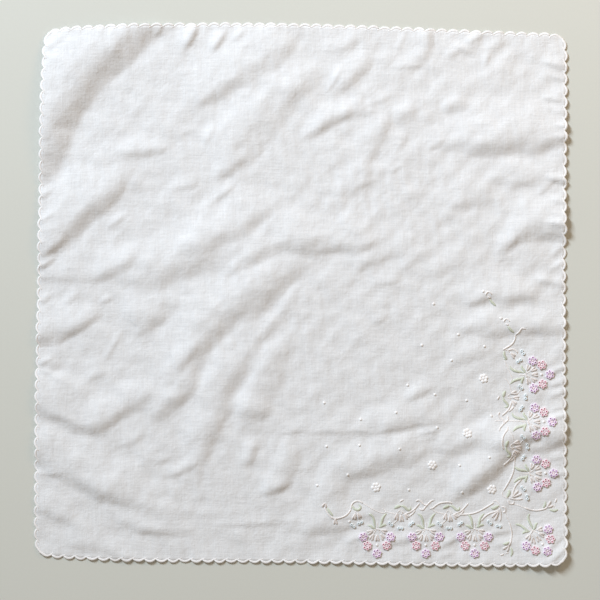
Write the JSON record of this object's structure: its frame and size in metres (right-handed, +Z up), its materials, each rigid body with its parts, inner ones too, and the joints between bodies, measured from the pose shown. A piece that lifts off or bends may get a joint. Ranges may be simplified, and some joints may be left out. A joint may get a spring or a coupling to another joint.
{
  "type": "linen handkerchief",
  "caption": "Square fine linen handkerchief with a scalloped corded edge, lying loosely in soft folds, with sprays of small raised flower heads in one corner.",
  "frame": {"origin": "on the table, below the middle of the cloth's extents", "axes": "+Z up from the table, +X to the right side and +Y to the top side of the square as it lies, so the flowered corner is at +X, -Y"},
  "size_m": [0.4529, 0.4624, 0.0093],
  "materials": {
    "linen": "fine plain-woven lawn, bleached white, matt with a slight sheen",
    "white_thread": "white embroidery cotton with a soft silky sheen",
    "lilac_thread": "lilac embroidery cotton with a soft silky sheen",
    "pink_thread": "pink embroidery cotton with a soft silky sheen",
    "leaf_thread": "pale grey-green embroidery cotton",
    "blue_thread": "pale blue embroidery cotton"
  },
  "bodies": {
    "root": {"handkerchief_cloth": "linen"}
  },
  "joints": []
}
